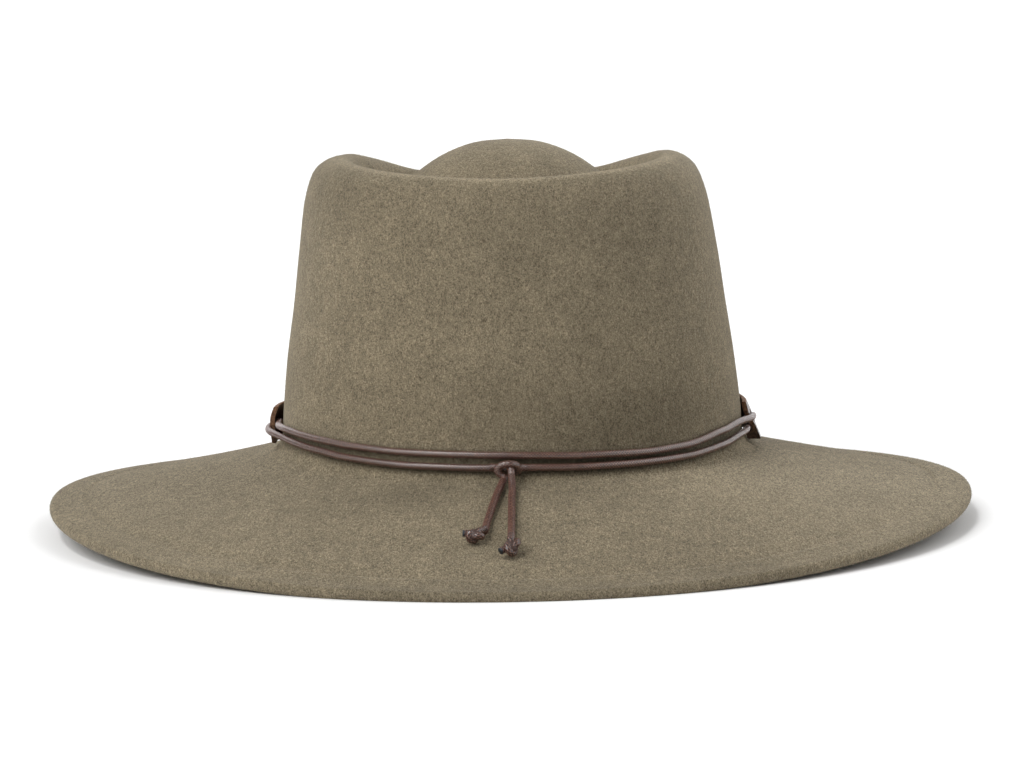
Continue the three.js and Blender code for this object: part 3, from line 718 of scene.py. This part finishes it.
def make_band():
    first = math.radians(BAND_ENDS["right"][0])
    last = 2 * math.pi - math.radians(BAND_ENDS["left"][0])
    swings = np.linspace(first, last, BAND_MESH["stations"])
    t, tall, corner = BAND["thickness"], BAND_LINES[-1] - BAND_LINES[0], BAND_MESH["corner"]
    rises = np.array([corner, *np.linspace(*BAND_MESH["heights"]) * tall, tall - corner])
    profile = [(0, up) for up in rises] + [(corner, tall), (t - corner, tall)]
    profile += [(t, up) for up in rises[::-1]] + [(t - corner, 0), (corner, 0)]
    verts = []
    for swing in swings:
        angle = swing_angle("right", swing)
        lines = np.stack([BAND_LINES, band_radii(angle)], axis=-1)
        line = spline(lines, np.linspace(0, len(lines) - 1, BAND_MESH["fine"]))
        near_end = 1 - smoothstep(math.degrees(swing - first), *SWELLING["past"])
        for out, up in profile:
            z = BAND_LINES[0] + up
            r = float(np.interp(z, line[:, 0], line[:, 1])) + out
            if out < t / 2:
                r -= SWELLING["by"] * float(near_end * (1 - smoothstep(z, *SWELLING["heights"])))
            verts.append(around_foot(angle, r, z))
    sides = len(profile)
    faces = [tuple(q) for q in grid_quads(len(swings), sides)]
    caps = len(faces)
    last_ring = (len(swings) - 1) * sides
    faces += [tuple(range(sides)), tuple(last_ring + k for k in reversed(range(sides)))]
    obj = make_mesh("band_visual", verts, faces, LEATHER, smooth=False)
    obj.data.materials.append(LEATHER_EDGE)
    flat = range(len(rises) - 1)
    faced = {*flat, *(k + len(rises) + 2 for k in flat)}
    for index, polygon in enumerate(obj.data.polygons):
        on_face = index < caps and index % sides in faced
        polygon.material_index = 0 if on_face else 1
        polygon.use_smooth = on_face
    punch_holes(obj)
    return obj


def punch_holes(obj):
    """Cuts both holes along the way that the cord takes through them."""
    for side in ("left", "right"):
        loop = lacing_loop(side)
        outside, inside = Vector(loop["outside"]), Vector(loop["inside"])
        radius = (outside - inside).length / 2
        place = (outside + inside) / 2 + Vector(loop["forward"]) * radius
        bpy.ops.mesh.primitive_cylinder_add(
            vertices=32,
            radius=BAND["hole_cut"] * MM,
            depth=(2 * radius + CORD["diameter"]) * MM,
            location=place * MM,
        )
        punch = bpy.context.object
        punch.rotation_mode = "QUATERNION"
        punch.rotation_quaternion = (inside - outside).to_track_quat("Z", "Y")
        modifier = obj.modifiers.new("hole", "BOOLEAN")
        modifier.operation = "DIFFERENCE"
        modifier.object = punch
        modifier.solver = "EXACT"
        with bpy.context.temp_override(object=obj, active_object=obj):
            bpy.ops.object.modifier_apply(modifier="hole")
        bpy.data.objects.remove(punch, do_unlink=True)


dress(make_band(), "leather_band")

FELT_AROUND = 320
# The face inside the hat is made of every third ring.
INNER_STEP = 3
# Steps round the brim's lip.
LIP_STEPS = 10

# The crown's back bends along one soft upright line: (height, place across, half width, rise).
BACK_BEND = [
    (40, 5.5, 13, 0.0), (50, 4.0, 15, 1.1), (75, -1.0, 20, 1.4), (100, -7.5, 24, 1.5), (118, -9.0, 26, 0.3),
]
# Faint waves in the crown and the brim: how high, and where each fades in and out, by height
# and by the way in from the brim's lip.
CROWN_WAVES = {"high": 0.16, "foot": (44, 60), "shoulder": (118, 128)}
BRIM_WAVES = {"high": 0.2, "inward": (16, 40), "foot": (22, 27)}
# The far rim is fuller beside its two corners, and lower next to the dome: (place across, half
# width, lift). It starts behind the dome's middle and below the rim.
FAR_RIM = [(-54, 14, 1.5), (53, 14, 0.7), (-34, 11, -0.9), (36, 11, -1.0)]
FAR_RIM_FROM = {"along": (8, 30), "height": (116, 124)}
# The folded edge of the brim stands a little proud of the felt inside it: width of the fold,
# height and half width of the step, and over which distance past it the felt rises again.
WELT = {"width": 11.2, "step": 0.45, "half": 0.5, "from": 1, "fade": 9.0}


def felt_relief(points, inward):
    """How far the felt's two faces are pushed out, from the upper face's points, in mm."""
    x, y, z = points[..., 0], points[..., 1], points[..., 2]
    bend = np.array(BACK_BEND, float)
    place, width, rise = (np.interp(z, bend[:, 0], bend[:, k]) for k in (1, 2, 3))
    ridge = rise * np.exp(-(((x - place) / width) ** 2)) * (y < 0)
    on_crown = smoothstep(z, *CROWN_WAVES["foot"]) * (1 - smoothstep(z, *CROWN_WAVES["shoulder"]))
    wave = np.sin(x / 17 + 1.3) * np.sin(z / 21 + y / 33) + 0.6 * np.sin(x / 9 - z / 13 + y / 15)
    crown = ridge * on_crown + CROWN_WAVES["high"] * wave * on_crown
    far_rim = smoothstep(y, *FAR_RIM_FROM["along"]) * smoothstep(z, *FAR_RIM_FROM["height"])
    for across, wide, lift in FAR_RIM:
        crown += far_rim * lift * np.exp(-(((x - across) / wide) ** 2))
    on_brim = smoothstep(inward, *BRIM_WAVES["inward"]) * (1 - smoothstep(z, *BRIM_WAVES["foot"]))
    swell = np.sin(x / 23 + 0.4) * np.sin(y / 27 + 1.1) + 0.5 * np.sin(x / 12 + y / 16)
    return crown + BRIM_WAVES["high"] * swell * on_brim


# Soft patches of painted shade and painted light on the felt: (place, reach, change of brightness),
# in mm. Shade falls on the crown's right and foot, under the cord, the knot and the end knot, at
# the crown's upper left and along the near edge. Light falls on the brim right of the crown.
PAINTED_LIGHT_AND_SHADE_PATCHES = [
    ((50, -85, 44), (42, 40, 20), -0.33),
    ((55, -75, 105), (42, 60, 34), -0.13),
    ((25, -90, 116), (55, 40, 20), -0.09),
    ((0, -187, 4), (85, 9, 8), -0.20),
    ((-28, -113, 25), (30, 11, 9), -0.20),
    ((20, -114, 25), (16, 10, 9), -0.12),
    ((72, -85, 22), (34, 26, 12), 0.24),
    ((125, -40, 20), (45, 45, 14), 0.10),
    ((85, -170, 8), (46, 15, 9), -0.24),
    ((5, -160, 13), (9, 9, 6), -0.12),
    ((-70, -60, 132), (22, 40, 22), -0.16),
]
# The felt is painted darker as shade where the waxed cord lies on it: how dark between the
# strands on each side and half the width there, how dark under a strand, and for each strand how
# far below its middle the darkest line lies and its half width. It fades over these degrees of
# swing, and only felt below this height counts.
CORD_SHADOW = {
    "left": 0.15, "right": 0.55, "half": 2.0, "under": 0.58, "upper": (1.4, 1.0), "lower": (1.7, 1.1),
    "fade": (66, 84), "below": 50,
}


def felt_painted_light_and_shade(points):
    """The painted light and shade that the felt's colour is multiplied by at each point."""
    painted_light_and_shade = np.ones(points.shape[:-1])
    for place, reach, change in PAINTED_LIGHT_AND_SHADE_PATCHES:
        painted_light_and_shade += change * np.exp(-(((points - place) / reach) ** 2).sum(axis=-1))
    x, y, z = points[..., 0], points[..., 1], points[..., 2]
    # Painted shadow of the cord's two strands on the felt, between and under them.
    for side, way in (("left", -1), ("right", 1)):
        swing = way * np.degrees(np.arctan2(x - FOOT["shift"], -y))
        rows = np.array(STRANDS[side])
        upper, lower = (np.interp(swing, rows[:, 0], rows[:, k]) for k in (1, 2))
        here = (swing >= 0) * (1 - smoothstep(swing, *CORD_SHADOW["fade"])) * (z < CORD_SHADOW["below"])
        dark = CORD_SHADOW[side] * np.exp(-(((z - (upper + lower) / 2) / CORD_SHADOW["half"]) ** 4))
        under = 0
        for strand, (drop, half) in ((upper, CORD_SHADOW["upper"]), (lower, CORD_SHADOW["lower"])):
            under = under + np.exp(-(((z - strand + drop) / half) ** 2))
        painted_light_and_shade *= 1 - here * np.maximum(dark, CORD_SHADOW["under"] * under)
    return painted_light_and_shade


# How strongly the nap's grain shows on the crown, and what the near and the far brim add. foot
# is where the brim turns into the crown, and along is how the near brim turns into the far one.
GRAIN = {"crown": 0.52, "near_brim": 0.06, "far_brim": 0.36, "foot": (24, 34), "along": (-120, 10)}


def felt_coarse(points):
    on_brim = 1 - smoothstep(points[..., 2], *GRAIN["foot"])
    far = smoothstep(points[..., 1], *GRAIN["along"])
    return GRAIN["crown"] + on_brim * (GRAIN["near_brim"] + GRAIN["far_brim"] * far)


# The nap's loose hairs: number, range of lengths, width, range of rise against lean, and seed.
# They lie closer on the brim's edge and the crown's rim, from the reach or height given, and
# there are none between the heights bare, behind the leather and the cord.
NAP = {
    "hairs": 76000, "long": (0.35, 1.1), "wide": 0.075, "rise": (0.15, 0.75), "seed": 11,
    "edge": {"reach": 0.985, "more": 9}, "rim": {"height": 118, "reach": 0.3, "more": 5}, "bare": (26, 47),
}


def unit(vectors):
    return vectors / np.linalg.norm(vectors, axis=1, keepdims=True)


def make_nap(points, quads):
    """Fine hairs, one narrow triangle each, on the faces of the felt that can be seen."""
    rng = np.random.default_rng(NAP["seed"])
    count = NAP["hairs"]
    a, b, c, d = (points[quads[:, k]] for k in range(4))
    normal = np.cross(c - a, d - b)
    area = np.linalg.norm(normal, axis=1) / 2
    normal /= np.maximum(2 * area, 1e-9)[:, None]
    middle = (a + b + c + d) / 4
    z, lip = middle[:, 2], TABLE["brim_lip"]
    reach = np.hypot(middle[:, 0] / lip["a"], middle[:, 1] / lip["b"])
    edge, rim, (bare_low, bare_high) = NAP["edge"], NAP["rim"], NAP["bare"]
    dense = 1 + edge["more"] * (reach > edge["reach"])
    dense = dense + rim["more"] * ((z > rim["height"]) & (reach > rim["reach"]))
    share = area * dense * ~((z > bare_low) & (z < bare_high))
    pick = rng.choice(len(quads), count, p=share / share.sum())
    u, v = rng.random((2, count, 1))
    root = (a[pick] * (1 - u) + b[pick] * u) * (1 - v) + (d[pick] * (1 - u) + c[pick] * u) * v
    lean = rng.normal(size=(count, 3))
    lean = unit(lean - (lean * normal[pick]).sum(axis=1, keepdims=True) * normal[pick])
    away = unit(lean + normal[pick] * rng.uniform(*NAP["rise"], (count, 1)))
    away *= rng.uniform(*NAP["long"], (count, 1))
    side = unit(np.cross(away, normal[pick])) * NAP["wide"] / 2
    verts = np.stack([root - side, root + side, root + away], axis=1).reshape(-1, 3)
    faces = np.arange(len(verts)).reshape(-1, 3)
    return make_mesh("felt_nap", verts, faces, NAP_HAIR_SHEEN, smooth=False)


def on_rings(rings, angles):
    """Points [x, y, z] from rings of [r, shift, z]."""
    r, shift, z = rings[..., 0], rings[..., 1], rings[..., 2]
    return np.stack([r * np.cos(angles) + shift, r * np.sin(angles), z], axis=-1)


def felt_sheet(angles):
    """The rings [r, shift, z] of the felt's upper face, its outermost ring and the under face."""
    upper, wall = upper_face(angles)
    ahead = np.zeros_like(upper)
    ahead[1:-1] = upper[:-2] - upper[2:]
    ahead[0], ahead[-1] = upper[0] - upper[1], upper[-2] - upper[-1]
    length = np.hypot(ahead[..., 0], ahead[..., 2])
    normal_r, normal_z = -ahead[..., 2] / length, ahead[..., 0] / length
    normal_r[-1], normal_z[-1] = 0, 1
    inward = upper[0, :, 0] - upper[..., 0]
    pushed = felt_relief(on_rings(upper, angles), inward)
    pushed[-1] = pushed[-1].mean()
    upper[..., 0] += normal_r * pushed
    upper[..., 2] += normal_z * pushed
    under = upper.copy()
    under[..., 0] -= normal_r * wall[:, None]
    under[..., 2] -= normal_z * wall[:, None]
    lip = upper[0].copy()
    width = WELT["width"]
    sunk = smoothstep(inward, width - WELT["half"], width + WELT["half"])
    sunk = sunk * (1 - smoothstep(inward, width + WELT["from"], width + WELT["fade"]))
    upper[..., 2] -= WELT["step"] * sunk
    return upper, lip, under


def lip_rings(lip, low):
    """Rings round the brim's lip, from the under face to the upper face."""
    up_r, up_z = (lip[:, 0] - low[:, 0]) / 2, (lip[:, 2] - low[:, 2]) / 2
    rings = []
    for step in range(1, LIP_STEPS):
        turn = math.pi * step / LIP_STEPS
        ring = lip.copy()
        ring[:, 0] = (lip[:, 0] + low[:, 0]) / 2 - math.cos(turn) * up_r + math.sin(turn) * up_z
        ring[:, 2] = (lip[:, 2] + low[:, 2]) / 2 - math.cos(turn) * up_z - math.sin(turn) * up_r
        rings.append(ring)
    return np.array(rings)


# A painted highlight of light fuzz along the sharp near rim of the crown: how strong it is, and
# the share of it on each ring, counted from the crest.
RIM_HIGHLIGHT = {"by": 0.34, "rings": ((-4, 0.3), (-3, 0.8), (-2, 1.0), (-1, 1.0), (0, 1.0), (1, 0.6))}


def make_felt():
    """The felt cap, and the nap on all of it that can be seen."""
    angles = np.linspace(0, 2 * math.pi, FELT_AROUND, endpoint=False)
    upper, lip, under = felt_sheet(angles)
    inner = under[:-1:INNER_STEP][::-1]
    edge = lip_rings(lip, under[0])
    rings = np.concatenate([inner, edge, upper[:-1]])
    rings[..., 2] = np.maximum(rings[..., 2] - PRESSED_FLAT, 0)
    top = (DOME_TOP["shift"], 0, upper[-1, 0, 2] - PRESSED_FLAT)
    bottom = (DOME_TOP["shift"], 0, top[2] - DOME_TOP["wall"])
    verts = np.concatenate([on_rings(rings, angles).reshape(-1, 3), [bottom, top]])
    obj = make_mesh("felt_visual", verts, closed_faces(len(rings), FELT_AROUND), FELT)
    # Painted light and shade: soft patches and the cord's shadow, then the highlight along the near rim.
    painted_light_and_shade_values = felt_painted_light_and_shade(verts)
    # The rim's crest is the highest ring at the middle of the back, with the dome left out.
    before_dome, back = len(upper) * 7 // 8, 3 * FELT_AROUND // 4
    crest = len(inner) + len(edge) + int(np.argmax(upper[:before_dome, back, 2]))
    # The painted highlight is strongest at the middle of the near side.
    near = RIM_HIGHLIGHT["by"] * (np.sin(angles) < 0) * np.abs(np.sin(angles)) ** 0.5
    for step, share in RIM_HIGHLIGHT["rings"]:
        first = (crest + step) * FELT_AROUND
        painted_light_and_shade_values[first : first + FELT_AROUND] += near * share
    add_values(obj, "painted_light_and_shade", painted_light_and_shade_values)
    add_values(obj, "coarse", felt_coarse(verts))
    seen = grid_quads(len(rings), FELT_AROUND)[len(inner) * FELT_AROUND :]
    return obj, make_nap(verts, seen)


felt, nap = make_felt()
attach(felt, "root")
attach(nap, "root")
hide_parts("felt_body")

# Soft lights from far off: azimuth from the camera's side (negative from its left) and height
# above the horizon in degrees, strength, and softness in degrees.
LIGHTS = {
    "left_key": (-44, 39, 0.52, 44),
    "left_strip": (-50, 66, 0.26, 11),
    "left_side": (-78, 24, 0.24, 70),
    "front_right": (60, 34, 0.08, 40),
    "right_side": (104, 27, 0.56, 80),
    "back": (180, 45, 0.29, 35),
    "back_left": (-145, 40, 0.07, 35),
    "overhead": (0, 84, 0.05, 110),
}
WORLD_LIGHT = 0.02
# The floor and the backdrop far behind the hat, in metres: place, tilt and shade of grey.
STAGE_SIZE = 30
STAGE = {
    "floor": ((0, 8, 0), 0, 0.93),
    "backdrop": ((0, 18, 13), math.pi / 2, 0.9),
}
BACKDROP_GLOW = 0.8


def make_floor():
    for name, (place, tilt, shade) in STAGE.items():
        bpy.ops.mesh.primitive_plane_add(size=STAGE_SIZE, location=place, rotation=(tilt, 0, 0))
        plane = bpy.context.object
        plane.name = name
        s = Shader(name)
        s.set(Base_Color=(shade, shade, shade, 1), Roughness=0.9)
        if name == "floor":
            s.bsdf.inputs["Specular IOR Level"].default_value = 0.1
        else:
            s.set(Emission_Color=(1, 1, 1, 1), Emission_Strength=BACKDROP_GLOW)
        plane.data.materials.append(s.material)


def make_light(name, azimuth, height, strength, softness):
    data = bpy.data.lights.new(name, "SUN")
    data.energy = math.pi * strength
    data.angle = math.radians(softness)
    light = bpy.data.objects.new(name, data)
    bpy.context.collection.objects.link(light)
    az, el = math.radians(azimuth), math.radians(height)
    towards = Vector((-math.sin(az) * math.cos(el), math.cos(az) * math.cos(el), -math.sin(el)))
    light.rotation_euler = towards.to_track_quat("-Z", "Y").to_euler()


make_floor()
for light_name, light_place in LIGHTS.items():
    make_light(light_name, *light_place)

world = bpy.data.worlds.new("studio")
bpy.context.scene.world = world
world.use_nodes = True
background = world.node_tree.nodes["Background"]
background.inputs["Color"].default_value = (1, 1, 1, 1)
background.inputs["Strength"].default_value = WORLD_LIGHT
bpy.context.scene.view_settings.view_transform = "Standard"
